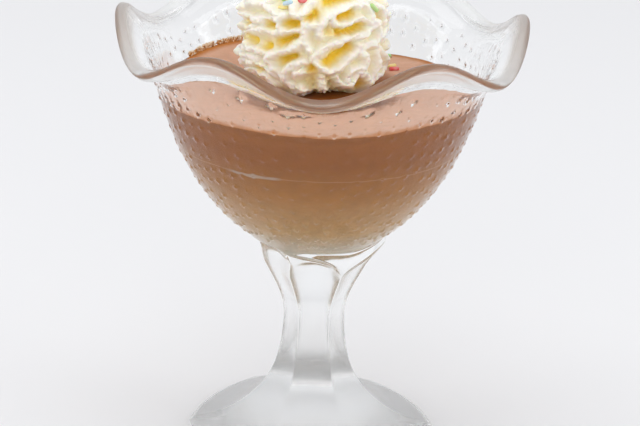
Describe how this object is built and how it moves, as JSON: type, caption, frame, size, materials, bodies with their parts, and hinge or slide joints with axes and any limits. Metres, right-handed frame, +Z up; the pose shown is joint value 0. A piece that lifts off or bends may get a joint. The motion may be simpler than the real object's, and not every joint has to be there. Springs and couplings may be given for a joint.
{
  "type": "chocolate mousse",
  "caption": "Chocolate mousse in a footed pressed-glass dessert dish with a wavy rim, topped with a piped swirl of whipped cream.",
  "frame": {"origin": "middle of the foot's flat underside, on the surface that the dish stands on", "axes": "+Z up along the dish's stem; -Y towards the front, where one dip of the rim faces; +X to the right"},
  "size_m": [0.1218, 0.1218, 0.1584],
  "materials": {
    "clear_glass": "clear pressed glass, fire-polished, with small raised drops on the bowl",
    "chocolate_mousse": "set chocolate mousse, satin where it was smoothed, with fine bubbles",
    "whipped_cream": "soft whipped cream, matte, warmer in its folds",
    "sugar_strands": "small sugar strands in green, yellow, red and pale blue, slightly glossy"
  },
  "bodies": {
    "root": {"glass_dish": "clear_glass", "mousse": "chocolate_mousse", "whipped_cream": "whipped_cream"}
  },
  "joints": []
}
